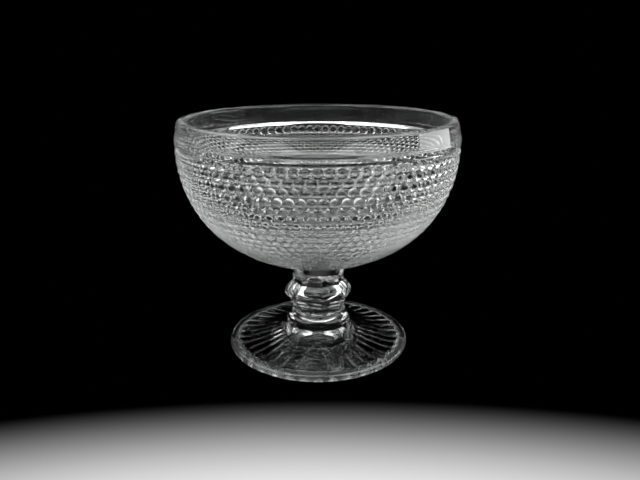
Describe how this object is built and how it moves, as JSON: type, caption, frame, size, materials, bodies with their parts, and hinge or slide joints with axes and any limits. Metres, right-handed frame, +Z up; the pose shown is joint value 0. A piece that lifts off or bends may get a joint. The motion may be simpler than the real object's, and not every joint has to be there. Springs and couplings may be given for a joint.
{
  "type": "ice cream cup",
  "caption": "Footed ice cream cup in clear pressed glass: beaded half-round bowl under a plain rim band, collar, faceted knop stem, round pad and rayed foot.",
  "frame": {"origin": "on the cup's axis at table level, under the middle of the foot", "axes": "+Z up along the cup's axis, -Y towards the viewer of the picture"},
  "size_m": [0.1046, 0.1046, 0.0901],
  "materials": {
    "clear_glass": "fire-polished clear pressed glass"
  },
  "bodies": {
    "root": {"foot": "clear_glass", "foot_pad": "clear_glass", "stem_knop": "clear_glass", "bowl_collar": "clear_glass", "bowl": "clear_glass", "rim_band": "clear_glass"}
  },
  "joints": []
}
